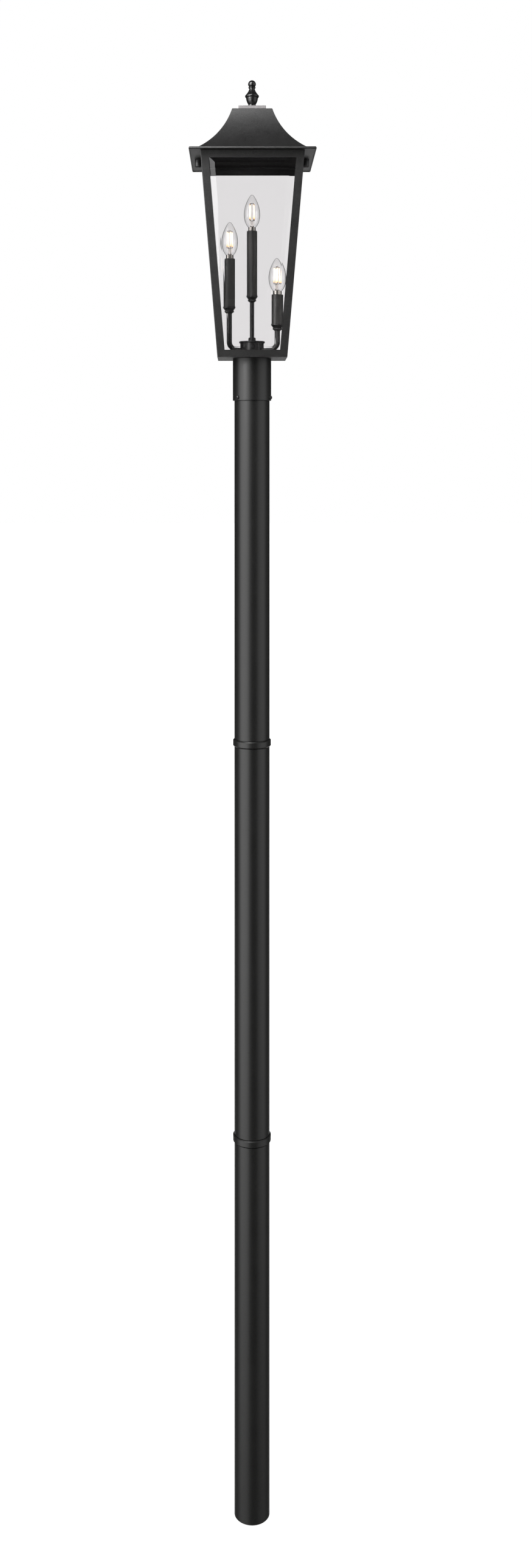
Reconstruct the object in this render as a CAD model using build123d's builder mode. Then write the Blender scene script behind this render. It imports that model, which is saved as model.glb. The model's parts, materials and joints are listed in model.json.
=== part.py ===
"""Post lantern with three candle lamps on a jointed round post.

Millimetres, +Z up, origin at the centre of the post's lower end. The lantern's front faces -Y.
Heights are measured up from that origin.
"""
from build123d import *
from math import cos, radians, sin, sqrt, tan
import os

os.makedirs("parts", exist_ok=True)

# ---- post: three tubes of three-inch pipe, joined by two ringed couplings
POST_R = 38.1
POST_BORE_R = 36.0
POST_TOP = 2491.0
LOWER_COUPLING_Z = 816.8
UPPER_COUPLING_Z = 1672.5
RING_R = 41.0
RING_GROOVE_R = 36.9
RING_GROOVE = 1.1
RING_EDGE_R = 39.2
RING_HALF = 8.4
RING_CHAMFER = 1.8
SPIGOT_R = 35.9
SPIGOT_BORE_R = 33.0
SPIGOT_REACH = 60.0
TUBE_EDGE = 0.4

# ---- fitter collar that slips over the post, with three set screws
COLLAR_R = 41.6
COLLAR_BORE_R = 38.6
COLLAR_BOTTOM = 2413.4
COLLAR_EDGE = 0.6
SCREW_ANGLES = (222.0, 342.0, 102.0)
SCREW_Z = COLLAR_BOTTOM + 6.6
SCREW_HEAD_R = 4.5
SCREW_HEAD_RISE = 3.9
SCREW_DOME_POINT = (2.9, 3.0)
SCREW_SHANK_R = 2.5
SCREW_TIP_GAP = 0.3
SCREW_KEY_ACROSS = 2.5
SCREW_KEY_DEPTH = 1.8
DRILL_PLAY = 1.0

# ---- cage: four leaning stiles between a bottom and a top rail
CAGE_BOTTOM = 2504.0
CAGE_TOP = 2936.0
CAGE_BOTTOM_HALF = 74.3
CAGE_TOP_HALF = 109.8
FLARE = (CAGE_TOP_HALF - CAGE_BOTTOM_HALF) / (CAGE_TOP - CAGE_BOTTOM)
WALL = 3.2
STILE_WIDTH = 16.8
BOTTOM_RAIL_TOP = 2519.4
TOP_RAIL_BOTTOM = 2921.0
CORNER_ROUND = 1.2
NEAR_UPRIGHT = 0.9
FLOOR_THICK = 2.5
FLOOR_HOLE_R = 7.0
DRAIN_R = 2.5
DRAIN_SPREAD = 104.0

# ---- bevelled glass panes, held by clips in the corners
PANE_THICK = 4.0
PANE_BEVEL = 18.8
PANE_BEVEL_ANGLE = 6.0
PANE_EDGE = PANE_THICK - PANE_BEVEL * tan(radians(PANE_BEVEL_ANGLE))
PANE_INSET = 9.5
PANE_SETBACK = 3.3
PANE_LOW = 2507.0
PANE_HIGH = 2931.0
CLIP_HEIGHTS = (2560.0, 2880.0)
CLIP_LENGTH = 9.0
CLIP_TALL = 12.0
CLIP_THICK = 1.2
CLIP_STUD_R = 1.2
CLIP_STUD_PLAY = 0.15
CLIP_GAP = 0.9

# ---- roof: a brim with a turned-down lip under a hollow-curved hip roof
BRIM_HALF = 133.35
BRIM_THICK = 3.2
BRIM_LIP_DROP = 1.9
BRIM_LIP_WIDTH = 2.0
BRIM_UNDERCUT = 1.2
BRIM_UPRIGHT = 0.7
BRIM_LEAN = 26.0
BRIM_HOLE_HALF = 104.0
BRIM_ROUND = 1.0
BRIM_EDGE = 0.5
ROOF_FOOT_HALF = 118.0
ROOF_TOP_HALF = 42.9
ROOF_TOP = 3038.5
ROOF_MID = (71.5, 2982.8)
ROOF_WALL = 2.4
ROOF_INNER_FOOT_STEP = 5.5
ROOF_INNER_MID_STEP = 1.7
ROOF_TOP_ROUND = 2.0
CAP_HALF = 29.8
CAP_THICK = 9.2
CAP_ROUND = 0.8

# ---- studs under the brim, cap nuts below the cage's ears
STUD_X = 117.0
STUD_R = 3.0
STUD_LENGTH = 12.0
EAR_THICK = 1.8
EAR_HOLE_R = 3.4
NUT_R = 6.8
NUT_LENGTH = 15.2
NUT_BORE_R = 3.3
NUT_BORE_DEPTH = 11.0
NUT_ROUND = 4.0

# ---- finial, turned, on a threaded stem
FINIAL_FOOT_R = 8.3
FINIAL_FOOT_TALL = 7.4
FINIAL_VASE = ((7.7, 8.2), (9.4, 10.6), (11.2, 14.4), (12.4, 18.6), (13.1, 22.6))
FINIAL_BAND_R = 15.1
FINIAL_BAND_LOW = 23.6
FINIAL_BAND_HIGH = 28.6
FINIAL_BAND_ROUND = 1.2
FINIAL_SHOULDER = ((12.2, 30.6), (7.9, 37.2), (6.2, 41.4))
FINIAL_BEAD_R = 7.9
FINIAL_BEAD_LOW = 43.2
FINIAL_BEAD_HIGH = 46.2
FINIAL_BALL_R = 8.5
FINIAL_BALL_Z = 52.4
FINIAL_STEM_R = 3.0
FINIAL_STEM_LENGTH = 22.0
FINIAL_HOLE_R = 3.05

# ---- candle cluster: a hub with one stem on the axis and two bent arms
HUB_R = 25.5
HUB_WALL = 1.5
HUB_TOP = 2538.0
LID_R = 27.95
LID_THICK = 4.0
LID_ROUND = 1.4
STEM_NUT_R = 7.95
STEM_NUT_TALL = 8.1
STEM_NUT_CHAMFER = 1.2
TUBE_R = 4.7
TUBE_BORE_R = 3.6
ARM_Z = 2524.8
ARM_REACH = 58.6
ARM_BEND_R = 14.0
ARM_START = 18.5
ARM_ANGLES = {"left": 214.9, "right": 334.9}
ARM_NUT_ACROSS = 14.0
ARM_NUT_THICK = 3.5

# ---- candles: the height of each cover's lower end, and its length
CUP_TALL = 15.1
CUP_RIM_TALL = 14.6
CUP_OUTLINE = ((5.2, 0.0), (7.0, 1.6), (9.1, 3.0), (9.1, 4.8), (8.0, 6.2), (9.6, 8.6),
               (12.15, 11.6), (12.15, CUP_RIM_TALL))
COVER_R = 11.2
COVER_BORE_R = 10.1
COVER_EDGE = 0.5
COVER_SEAT_DEPTH = 2.5
COVER_FOOT = {"centre": 2641.7, "left": 2614.8, "right": 2578.4}
COVER_LENGTH = {"centre": 139.6, "left": 102.2, "right": 62.6}
SOCKET_R = 9.6
SOCKET_BORE_R = 6.3
SOCKET_TALL = 34.0
SOCKET_FLOOR = 4.0
SOCKET_BELOW_COVER = 4.5

# ---- lamps: a screw cap, a candle-shaped glass and four filament sticks on a glass stem
CAP_COLLAR_R = 8.1
CAP_COLLAR_LOW = -3.6
CAP_COLLAR_HIGH = 7.9
CAP_SCREW_R = 5.9
CAP_SCREW_ROOT_R = 5.35
CAP_SCREW_LENGTH = 20.0
CAP_THREADS = 5
CAP_CREST_SHARE = 0.4
CAP_TIP_R = 2.6
CAP_TIP_TALL = 2.6
GLASS_OUTLINE = ((7.9, 0.0), (9.4, 1.5), (11.9, 5.0), (14.6, 10.6), (16.7, 18.2), (17.5, 27.5), (16.8, 37.5),
                 (14.6, 47.0), (11.5, 55.0), (7.8, 62.6), (4.5, 67.8), (2.2, 70.1), (0.0, 70.8))
GLASS_WALL = 0.8
LAMP_STEM_R = 4.6
LAMP_STEM_TIP_R = 2.6
LAMP_STEM_TALL = 14.5
FILAMENT_R = 1.2
FILAMENT_LOW = 15.5
FILAMENT_HIGH = 51.0
FILAMENT_FOOT_SPREAD = 6.2
FILAMENT_HEAD_SPREAD = 5.6
FILAMENT_TURN = {"centre": 38.0, "left": 20.0, "right": 12.0}
FILAMENT_WIRE_R = 0.35
FILAMENT_WIRE_DEPTH = 1.0
FILAMENT_CROWN_RISE = 1.5

# ---- larger than the whole lantern, for cuts that go right through
BIG = 400.0


def keep(piece, node):
    """Label a finished piece and write it."""
    piece.part.label = node
    export_step(piece.part, f"parts/{node}.step")


def upright(x, y):
    """A vertical plane through (x, y), seen from the front."""
    return Plane(origin=(x, y, 0), x_dir=(1, 0, 0), z_dir=(0, -1, 0))


def half_width(z):
    """Half the width of the cage's outside at a height."""
    return CAGE_BOTTOM_HALF + FLARE * (z - CAGE_BOTTOM)


def tapered_block(inset, low, high):
    """A square block between two heights, its sides leaning as the cage's do."""
    with BuildPart() as block:
        for z in (low, high):
            with BuildSketch(Plane.XY.offset(z)):
                Rectangle(2 * (half_width(z) - inset), 2 * (half_width(z) - inset))
        loft()
    return block.part


def window(plane):
    """The opening between the stiles and rails, cut right through on one plane."""
    low = half_width(BOTTOM_RAIL_TOP) - STILE_WIDTH
    high = half_width(TOP_RAIL_BOTTOM) - STILE_WIDTH
    with BuildPart() as opening:
        with BuildSketch(plane):
            with BuildLine():
                Polyline((-low, BOTTOM_RAIL_TOP), (low, BOTTOM_RAIL_TOP),
                         (high, TOP_RAIL_BOTTOM), (-high, TOP_RAIL_BOTTOM), close=True)
            make_face()
        extrude(amount=BIG, both=True)
    return opening.part


def corner_edges(piece, count):
    """The leaning edges furthest from the axis."""
    edges = piece.edges()
    leaning = edges.filter_by(lambda edge: abs((edge @ 1 - edge @ 0).Z) > edge.length * NEAR_UPRIGHT)
    return leaning.sort_by(lambda edge: Vector(edge.center().X, edge.center().Y, 0).length)[-count:]


# ==== post
def post_tube(node, low, high):
    with BuildPart() as tube:
        with BuildSketch(Plane.XY.offset(low)):
            Circle(POST_R)
            Circle(POST_BORE_R, mode=Mode.SUBTRACT)
        extrude(amount=high - low)
        rims = tube.edges().filter_by(GeomType.CIRCLE).sort_by(SortBy.RADIUS)[-2:]
        chamfer(rims, TUBE_EDGE)
    keep(tube, node)


def coupling(node, z):
    """A ring that shows, between two grooves and two spigots that slide into the tubes."""
    band_half = RING_HALF - RING_GROOVE
    with BuildPart() as ring:
        with BuildSketch(Plane.XZ):
            with BuildLine():
                Polyline((SPIGOT_BORE_R, z - SPIGOT_REACH), (SPIGOT_R, z - SPIGOT_REACH),
                         (SPIGOT_R, z - RING_HALF), (RING_GROOVE_R, z - RING_HALF),
                         (RING_GROOVE_R, z - band_half), (RING_EDGE_R, z - band_half),
                         (RING_R, z - band_half + RING_CHAMFER), (RING_R, z + band_half - RING_CHAMFER),
                         (RING_EDGE_R, z + band_half), (RING_GROOVE_R, z + band_half),
                         (RING_GROOVE_R, z + RING_HALF), (SPIGOT_R, z + RING_HALF),
                         (SPIGOT_R, z + SPIGOT_REACH), (SPIGOT_BORE_R, z + SPIGOT_REACH), close=True)
            make_face()
        revolve(axis=Axis.Z)
    keep(ring, node)


post_tube("post_lower", 0.0, LOWER_COUPLING_Z - RING_HALF)
post_tube("post_middle", LOWER_COUPLING_Z + RING_HALF, UPPER_COUPLING_Z - RING_HALF)
post_tube("post_upper", UPPER_COUPLING_Z + RING_HALF, POST_TOP)
coupling("coupling_lower", LOWER_COUPLING_Z)
coupling("coupling_upper", UPPER_COUPLING_Z)


# ==== fitter collar and its set screws
def radial_plane(angle, radius, z):
    """A plane across a radius of the post, facing outwards."""
    outward = (cos(radians(angle)), sin(radians(angle)), 0)
    return Plane(origin=(radius * outward[0], radius * outward[1], z), x_dir=(0, 0, 1), z_dir=outward)


with BuildPart() as fitter_collar:
    with BuildSketch(Plane.XY.offset(COLLAR_BOTTOM)):
        Circle(COLLAR_R)
        Circle(COLLAR_BORE_R, mode=Mode.SUBTRACT)
    extrude(amount=CAGE_BOTTOM - COLLAR_BOTTOM)
    chamfer(fitter_collar.edges().filter_by(GeomType.CIRCLE).group_by(Axis.Z)[0], COLLAR_EDGE)
    for angle in SCREW_ANGLES:
        with BuildSketch(radial_plane(angle, COLLAR_BORE_R - DRILL_PLAY, SCREW_Z)):
            Circle(SCREW_SHANK_R)
        extrude(amount=COLLAR_R - COLLAR_BORE_R + 2 * DRILL_PLAY, mode=Mode.SUBTRACT)
keep(fitter_collar, "fitter_collar")

with BuildPart() as set_screws:
    for angle in SCREW_ANGLES:
        seat = radial_plane(angle, COLLAR_R, SCREW_Z)
        tip = POST_R + SCREW_TIP_GAP - COLLAR_R
        with BuildSketch(Plane(origin=seat.origin, x_dir=seat.z_dir, z_dir=seat.y_dir)):
            with BuildLine():
                Polyline((SCREW_HEAD_RISE, 0), (tip, 0), (tip, SCREW_SHANK_R), (0, SCREW_SHANK_R),
                         (0, SCREW_HEAD_R))
                ThreePointArc((0, SCREW_HEAD_R), SCREW_DOME_POINT, (SCREW_HEAD_RISE, 0))
            make_face()
        revolve(axis=Axis(seat.origin, seat.z_dir))
        with BuildSketch(radial_plane(angle, COLLAR_R + SCREW_HEAD_RISE - SCREW_KEY_DEPTH, SCREW_Z)):
            RegularPolygon(SCREW_KEY_ACROSS / sqrt(3), 6)
        extrude(amount=2 * SCREW_KEY_DEPTH, mode=Mode.SUBTRACT)
keep(set_screws, "set_screws")


# ==== cage
CORNERS = {"front_left": (-1, -1), "front_right": (1, -1), "back_left": (-1, 1), "back_right": (1, 1)}
window_across = window(Plane.XZ)
window_along = window(Plane.YZ)
band_outside = tapered_block(0, BOTTOM_RAIL_TOP, TOP_RAIL_BOTTOM)
band_inside = tapered_block(WALL, BOTTOM_RAIL_TOP, TOP_RAIL_BOTTOM)

for name, (side_x, side_y) in CORNERS.items():
    with BuildPart() as stile:
        add(band_outside)
        add(band_inside, mode=Mode.SUBTRACT)
        add(window_across, mode=Mode.SUBTRACT)
        add(window_along, mode=Mode.SUBTRACT)
        with Locations((side_x * BIG / 2, side_y * BIG / 2, (BOTTOM_RAIL_TOP + TOP_RAIL_BOTTOM) / 2)):
            Box(BIG, BIG, BIG + TOP_RAIL_BOTTOM - BOTTOM_RAIL_TOP, mode=Mode.INTERSECT)
        fillet(corner_edges(stile, 1), CORNER_ROUND)
    keep(stile, f"stile_{name}")

bottom_outside = tapered_block(0, CAGE_BOTTOM, BOTTOM_RAIL_TOP)
bottom_inside = tapered_block(WALL, CAGE_BOTTOM, BOTTOM_RAIL_TOP)
with BuildPart() as bottom_rail:
    add(bottom_outside)
    fillet(corner_edges(bottom_rail, 4), CORNER_ROUND)
    add(bottom_inside, mode=Mode.SUBTRACT)
keep(bottom_rail, "bottom_rail")

top_outside = tapered_block(0, TOP_RAIL_BOTTOM, CAGE_TOP)
top_inside = tapered_block(WALL, TOP_RAIL_BOTTOM, CAGE_TOP)
ear_root = half_width(CAGE_TOP) - WALL / 2
with BuildPart() as top_rail:
    add(top_outside)
    fillet(corner_edges(top_rail, 4), CORNER_ROUND)
    add(top_inside, mode=Mode.SUBTRACT)
    with BuildSketch(Plane.XY.offset(CAGE_TOP)):
        for side in (-1, 1):
            with Locations((side * STUD_X, 0)):
                Circle(NUT_R)
            with Locations((side * (ear_root + STUD_X) / 2, 0)):
                Rectangle(STUD_X - ear_root, 2 * NUT_R)
        with Locations((-STUD_X, 0), (STUD_X, 0)):
            Circle(EAR_HOLE_R, mode=Mode.SUBTRACT)
    extrude(amount=-EAR_THICK)
keep(top_rail, "top_rail")

floor_block = tapered_block(WALL, CAGE_BOTTOM, CAGE_BOTTOM + FLOOR_THICK)
with BuildPart() as floor_plate:
    add(floor_block)
    with BuildSketch(Plane.XY.offset(CAGE_BOTTOM)):
        Circle(FLOOR_HOLE_R)
        with GridLocations(DRAIN_SPREAD, DRAIN_SPREAD, 2, 2):
            Circle(DRAIN_R)
    extrude(amount=FLOOR_THICK, mode=Mode.SUBTRACT)
keep(floor_plate, "floor_plate")


# ==== glass
def pane(node, turn):
    """A trapezoid pane whose outer face falls away in a wide bevel at all four edges."""
    slope = sqrt(1 + FLARE ** 2)
    out = Vector(0, -1, -FLARE).normalized().rotate(Axis.Z, turn)
    along = Vector(1, 0, 0).rotate(Axis.Z, turn)
    foot = Vector(0, -(half_width(PANE_LOW) - (PANE_SETBACK + PANE_THICK) * slope), PANE_LOW)
    back = Plane(origin=foot.rotate(Axis.Z, turn), x_dir=along, z_dir=out)
    low_half = half_width(PANE_LOW) - PANE_INSET
    tall = (PANE_HIGH - PANE_LOW) * slope
    spread = FLARE / slope

    def corners(inset):
        low = low_half + spread * inset - inset * sqrt(1 + spread ** 2)
        high = low_half + spread * (tall - inset) - inset * sqrt(1 + spread ** 2)
        return (-low, inset), (low, inset), (high, tall - inset), (-high, tall - inset)

    with BuildPart() as glass:
        with BuildSketch(back):
            with BuildLine():
                Polyline(*corners(0), close=True)
            make_face()
        extrude(amount=PANE_EDGE)
        with BuildSketch(back.offset(PANE_EDGE)):
            with BuildLine():
                Polyline(*corners(0), close=True)
            make_face()
        with BuildSketch(back.offset(PANE_THICK)):
            with BuildLine():
                Polyline(*corners(PANE_BEVEL), close=True)
            make_face()
        loft()
    keep(glass, node)


for name, turn in (("front", 0), ("right", 90), ("back", 180), ("left", 270)):
    pane(f"glass_{name}", turn)

with BuildPart() as glass_clips:
    for z in CLIP_HEIGHTS:
        for turn in (45, 135, 225, 315):
            outward = Vector(cos(radians(turn)), sin(radians(turn)), 0)
            corner = (half_width(z - CLIP_TALL / 2) - PANE_SETBACK - PANE_THICK - CLIP_GAP) * sqrt(2)
            strip = Plane(origin=outward * (corner - CLIP_LENGTH / 2) + Vector(0, 0, z), x_dir=(0, 0, 1),
                          z_dir=outward)
            with BuildSketch(strip):
                Rectangle(CLIP_TALL, CLIP_LENGTH)
            extrude(amount=-CLIP_THICK)
            with BuildSketch(strip):
                Circle(CLIP_STUD_R)
            corner_depth = (half_width(z) - WALL) * sqrt(2) - corner + CLIP_LENGTH / 2
            extrude(amount=corner_depth - CLIP_STUD_R - CLIP_STUD_PLAY)
keep(glass_clips, "glass_clips")


# ==== roof
def hip_block(foot_half, mid, top_half, foot_z, top_z):
    """A square roof form: one hollow-curved outline carried both ways and shared."""
    with BuildPart() as block:
        for plane, mode in ((Plane.XZ, Mode.ADD), (Plane.YZ, Mode.INTERSECT)):
            with BuildSketch(plane) as outline:
                with BuildLine():
                    Line((-foot_half, foot_z), (foot_half, foot_z))
                    ThreePointArc((foot_half, foot_z), mid, (top_half, top_z))
                    Line((top_half, top_z), (-top_half, top_z))
                    ThreePointArc((-top_half, top_z), (-mid[0], mid[1]), (-foot_half, foot_z))
                make_face()
            extrude(to_extrude=outline.sketch, amount=BIG, both=True, mode=mode)
    return block.part


BRIM_TOP = CAGE_TOP + BRIM_THICK
roof_outside = hip_block(ROOF_FOOT_HALF, ROOF_MID, ROOF_TOP_HALF, BRIM_TOP, ROOF_TOP)
inner_mid = (ROOF_MID[0] - ROOF_INNER_MID_STEP, ROOF_MID[1] - ROOF_INNER_MID_STEP)
roof_inside = hip_block(ROOF_FOOT_HALF - ROOF_INNER_FOOT_STEP, inner_mid, ROOF_TOP_HALF - ROOF_WALL,
                        BRIM_TOP, ROOF_TOP - ROOF_WALL)
with BuildPart() as roof_shell:
    add(roof_outside)
    add(roof_inside, mode=Mode.SUBTRACT)
    fillet(roof_shell.edges().group_by(Axis.Z)[-1], ROOF_TOP_ROUND)
    with BuildSketch(Plane.XY.offset(ROOF_TOP)):
        Circle(FINIAL_HOLE_R)
    extrude(amount=-2 * ROOF_WALL, mode=Mode.SUBTRACT)
keep(roof_shell, "roof_shell")

BRIM_FOOT = CAGE_TOP - BRIM_LIP_DROP
BRIM_UPRIGHT_FOOT = BRIM_FOOT + BRIM_UNDERCUT
BRIM_LEAN_FOOT = BRIM_UPRIGHT_FOOT + BRIM_UPRIGHT
BRIM_TOP_HALF = BRIM_HALF - (BRIM_TOP - BRIM_LEAN_FOOT) * tan(radians(BRIM_LEAN))
brim_bands = ((BRIM_FOOT, BRIM_HALF - BRIM_UNDERCUT), (BRIM_UPRIGHT_FOOT, BRIM_HALF),
              (BRIM_LEAN_FOOT, BRIM_HALF), (BRIM_TOP, BRIM_TOP_HALF))
with BuildPart() as roof_brim:
    for z, half in brim_bands:
        with BuildSketch(Plane.XY.offset(z)):
            RectangleRounded(2 * half, 2 * half, BRIM_ROUND)
    loft(ruled=True)
    fillet(roof_brim.faces().sort_by(Axis.Z)[-1].edges(), BRIM_EDGE)
    with BuildSketch(Plane.XY.offset(BRIM_FOOT)):
        Rectangle(2 * (BRIM_HALF - BRIM_LIP_WIDTH), 2 * (BRIM_HALF - BRIM_LIP_WIDTH))
    extrude(amount=BRIM_LIP_DROP, mode=Mode.SUBTRACT)
    with BuildSketch(Plane.XY.offset(CAGE_TOP)):
        Rectangle(2 * BRIM_HOLE_HALF, 2 * BRIM_HOLE_HALF)
    extrude(amount=BRIM_THICK, mode=Mode.SUBTRACT)
keep(roof_brim, "roof_brim")

with BuildPart() as cap_plate:
    with BuildSketch(Plane.XY.offset(ROOF_TOP)):
        Rectangle(2 * CAP_HALF, 2 * CAP_HALF)
    extrude(amount=CAP_THICK)
    fillet(cap_plate.edges().filter_by(Axis.Z), CAP_ROUND)
    fillet(cap_plate.faces().sort_by(Axis.Z)[-1].edges(), CAP_ROUND)
    with BuildSketch(Plane.XY.offset(ROOF_TOP)):
        Circle(FINIAL_HOLE_R)
    extrude(amount=CAP_THICK, mode=Mode.SUBTRACT)
keep(cap_plate, "cap_plate")

with BuildPart() as roof_studs:
    with BuildSketch(Plane.XY.offset(CAGE_TOP)):
        with Locations((-STUD_X, 0), (STUD_X, 0)):
            Circle(STUD_R)
    extrude(amount=-STUD_LENGTH)
keep(roof_studs, "roof_studs")


def cap_nut(node, x):
    """A blind nut with a rounded foot, against the underside of an ear."""
    top = CAGE_TOP - EAR_THICK
    foot = top - NUT_LENGTH
    bore_end = top - NUT_BORE_DEPTH
    with BuildPart() as nut:
        with BuildSketch(upright(x, 0)):
            with BuildLine():
                Polyline((NUT_R - NUT_ROUND, foot), (0, foot), (0, bore_end), (NUT_BORE_R, bore_end),
                         (NUT_BORE_R, top), (NUT_R, top), (NUT_R, foot + NUT_ROUND))
                RadiusArc((NUT_R, foot + NUT_ROUND), (NUT_R - NUT_ROUND, foot), NUT_ROUND)
            make_face()
        revolve(axis=Axis((x, 0, 0), (0, 0, 1)))
    keep(nut, node)


cap_nut("cap_nut_left", -STUD_X)
cap_nut("cap_nut_right", STUD_X)


# ==== finial
FINIAL_Z = ROOF_TOP + CAP_THICK


def raised(points):
    """Finial points given above its foot, lifted to their place."""
    return [(r, FINIAL_Z + height) for r, height in points]


vase = raised(FINIAL_VASE)
shoulder = raised(FINIAL_SHOULDER)
ball_foot = sqrt(FINIAL_BALL_R ** 2 - (FINIAL_BALL_Z - FINIAL_BEAD_HIGH) ** 2)
band_foot, band_middle, band_head = raised((
    (FINIAL_BAND_R - FINIAL_BAND_ROUND, FINIAL_BAND_LOW),
    (FINIAL_BAND_R, (FINIAL_BAND_LOW + FINIAL_BAND_HIGH) / 2),
    (FINIAL_BAND_R - FINIAL_BAND_ROUND, FINIAL_BAND_HIGH)))
bead_foot, bead_middle, bead_head = raised((
    (FINIAL_SHOULDER[-1][0], FINIAL_BEAD_LOW),
    (FINIAL_BEAD_R, (FINIAL_BEAD_LOW + FINIAL_BEAD_HIGH) / 2),
    (ball_foot, FINIAL_BEAD_HIGH)))
ball_side, ball_top = raised(((FINIAL_BALL_R, FINIAL_BALL_Z), (0, FINIAL_BALL_Z + FINIAL_BALL_R)))
stem_foot = FINIAL_Z - FINIAL_STEM_LENGTH
with BuildPart() as finial:
    with BuildSketch(Plane.XZ):
        with BuildLine():
            Polyline((0, stem_foot), (FINIAL_STEM_R, stem_foot), (FINIAL_STEM_R, FINIAL_Z),
                     (FINIAL_FOOT_R, FINIAL_Z), (FINIAL_FOOT_R, FINIAL_Z + FINIAL_FOOT_TALL), vase[0])
            Spline(*vase)
            Line(vase[-1], band_foot)
            ThreePointArc(band_foot, band_middle, band_head)
            Line(band_head, shoulder[0])
            Spline(*shoulder)
            Line(shoulder[-1], bead_foot)
            ThreePointArc(bead_foot, bead_middle, bead_head)
            ThreePointArc(bead_head, ball_side, ball_top)
            Line(ball_top, (0, stem_foot))
        make_face()
    revolve(axis=Axis.Z)
keep(finial, "finial")


# ==== candle cluster
FLOOR_TOP = CAGE_BOTTOM + FLOOR_THICK
with BuildPart() as hub_cup:
    with BuildSketch(Plane.XY.offset(FLOOR_TOP)):
        Circle(HUB_R)
    extrude(amount=HUB_TOP - FLOOR_TOP)
    with BuildSketch(Plane.XY.offset(FLOOR_TOP + HUB_WALL)):
        Circle(HUB_R - HUB_WALL)
    extrude(amount=HUB_TOP - FLOOR_TOP - HUB_WALL, mode=Mode.SUBTRACT)
    with BuildSketch(Plane.XY.offset(FLOOR_TOP)):
        Circle(FLOOR_HOLE_R)
    extrude(amount=HUB_WALL, mode=Mode.SUBTRACT)
    for angle in ARM_ANGLES.values():
        with BuildSketch(radial_plane(angle, HUB_R - 2 * HUB_WALL, ARM_Z)):
            Circle(TUBE_R)
        extrude(amount=3 * HUB_WALL, mode=Mode.SUBTRACT)
keep(hub_cup, "hub_cup")

with BuildPart() as hub_lid:
    with BuildSketch(Plane.XY.offset(HUB_TOP)):
        Circle(LID_R)
    extrude(amount=LID_THICK)
    fillet(hub_lid.edges().filter_by(GeomType.CIRCLE), LID_ROUND)
    with BuildSketch(Plane.XY.offset(HUB_TOP)):
        Circle(TUBE_BORE_R)
    extrude(amount=LID_THICK, mode=Mode.SUBTRACT)
keep(hub_lid, "hub_lid")

LID_TOP = HUB_TOP + LID_THICK
with BuildPart() as stem_nut:
    with BuildSketch(Plane.XY.offset(LID_TOP)):
        Circle(STEM_NUT_R)
    extrude(amount=STEM_NUT_TALL)
    chamfer(stem_nut.edges().filter_by(GeomType.CIRCLE), STEM_NUT_CHAMFER)
    with BuildSketch(Plane.XY.offset(LID_TOP)):
        Circle(TUBE_R)
    extrude(amount=STEM_NUT_TALL, mode=Mode.SUBTRACT)
keep(stem_nut, "stem_nut")

with BuildPart() as centre_stem:
    with BuildSketch(Plane.XY.offset(LID_TOP)):
        Circle(TUBE_R)
        Circle(TUBE_BORE_R, mode=Mode.SUBTRACT)
    extrude(amount=COVER_FOOT["centre"] - CUP_TALL - LID_TOP)
keep(centre_stem, "centre_stem")


def arm(side, angle):
    """A tube that leaves the hub level and bends up to its candle cup."""
    outward = Vector(cos(radians(angle)), sin(radians(angle)), 0)
    upright_plane = Plane(origin=(0, 0, 0), x_dir=outward, z_dir=outward.cross(Vector(0, 0, 1)))
    bend_start = ARM_REACH - ARM_BEND_R
    with BuildPart() as tube:
        with BuildLine(upright_plane) as route:
            Line((ARM_START, ARM_Z), (bend_start, ARM_Z))
            RadiusArc((bend_start, ARM_Z), (ARM_REACH, ARM_Z + ARM_BEND_R), -ARM_BEND_R)
            Line((ARM_REACH, ARM_Z + ARM_BEND_R), (ARM_REACH, COVER_FOOT[side] - CUP_TALL))
        with BuildSketch(radial_plane(angle, ARM_START, ARM_Z)):
            Circle(TUBE_R)
            Circle(TUBE_BORE_R, mode=Mode.SUBTRACT)
        sweep(path=route.wires()[0])
    keep(tube, f"arm_{side}")


for side, angle in ARM_ANGLES.items():
    arm(side, angle)

with BuildPart() as arm_nuts:
    for angle in ARM_ANGLES.values():
        with BuildSketch(radial_plane(angle, ARM_START, ARM_Z)):
            RegularPolygon(ARM_NUT_ACROSS / sqrt(3), 6)
            Circle(TUBE_R, mode=Mode.SUBTRACT)
        extrude(amount=ARM_NUT_THICK)
keep(arm_nuts, "arm_nuts")


# ==== candles and lamps
def turned(node, x, y, outline):
    """A turned piece: the closed outline goes once round the upright axis at (x, y)."""
    with BuildPart() as piece:
        with BuildSketch(upright(x, y)):
            with BuildLine():
                Polyline(*outline, close=True)
            make_face()
        revolve(axis=Axis((x, y, 0), (0, 0, 1)))
    keep(piece, node)


def candle_holder(side, x, y):
    """The cup, the cover tube and the socket inside it."""
    foot = COVER_FOOT[side]
    top = foot + COVER_LENGTH[side]
    cup_foot = foot - CUP_TALL
    seat = foot - COVER_SEAT_DEPTH
    cup_outside = [(r, cup_foot + height) for r, height in CUP_OUTLINE]
    cup_inside = [(COVER_R, cup_foot + CUP_RIM_TALL), (COVER_R, seat), (TUBE_BORE_R, seat),
                  (TUBE_BORE_R, cup_foot)]
    turned(f"cup_{side}", x, y, cup_outside + cup_inside)
    with BuildPart() as cover:
        with BuildSketch(Plane.XY.offset(seat)):
            with Locations((x, y)):
                Circle(COVER_R)
                Circle(COVER_BORE_R, mode=Mode.SUBTRACT)
        extrude(amount=top - seat)
        mouth_edges = cover.edges().filter_by(GeomType.CIRCLE).group_by(Axis.Z)[-1]
        chamfer(mouth_edges.sort_by(SortBy.RADIUS)[-1], COVER_EDGE)
    keep(cover, f"cover_{side}")
    mouth = top - SOCKET_BELOW_COVER
    floor = mouth - SOCKET_TALL
    socket_outline = [(0, floor), (SOCKET_R, floor), (SOCKET_R, mouth), (SOCKET_BORE_R, mouth),
                      (SOCKET_BORE_R, floor + SOCKET_FLOOR), (0, floor + SOCKET_FLOOR)]
    turned(f"socket_{side}", x, y, socket_outline)


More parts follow.
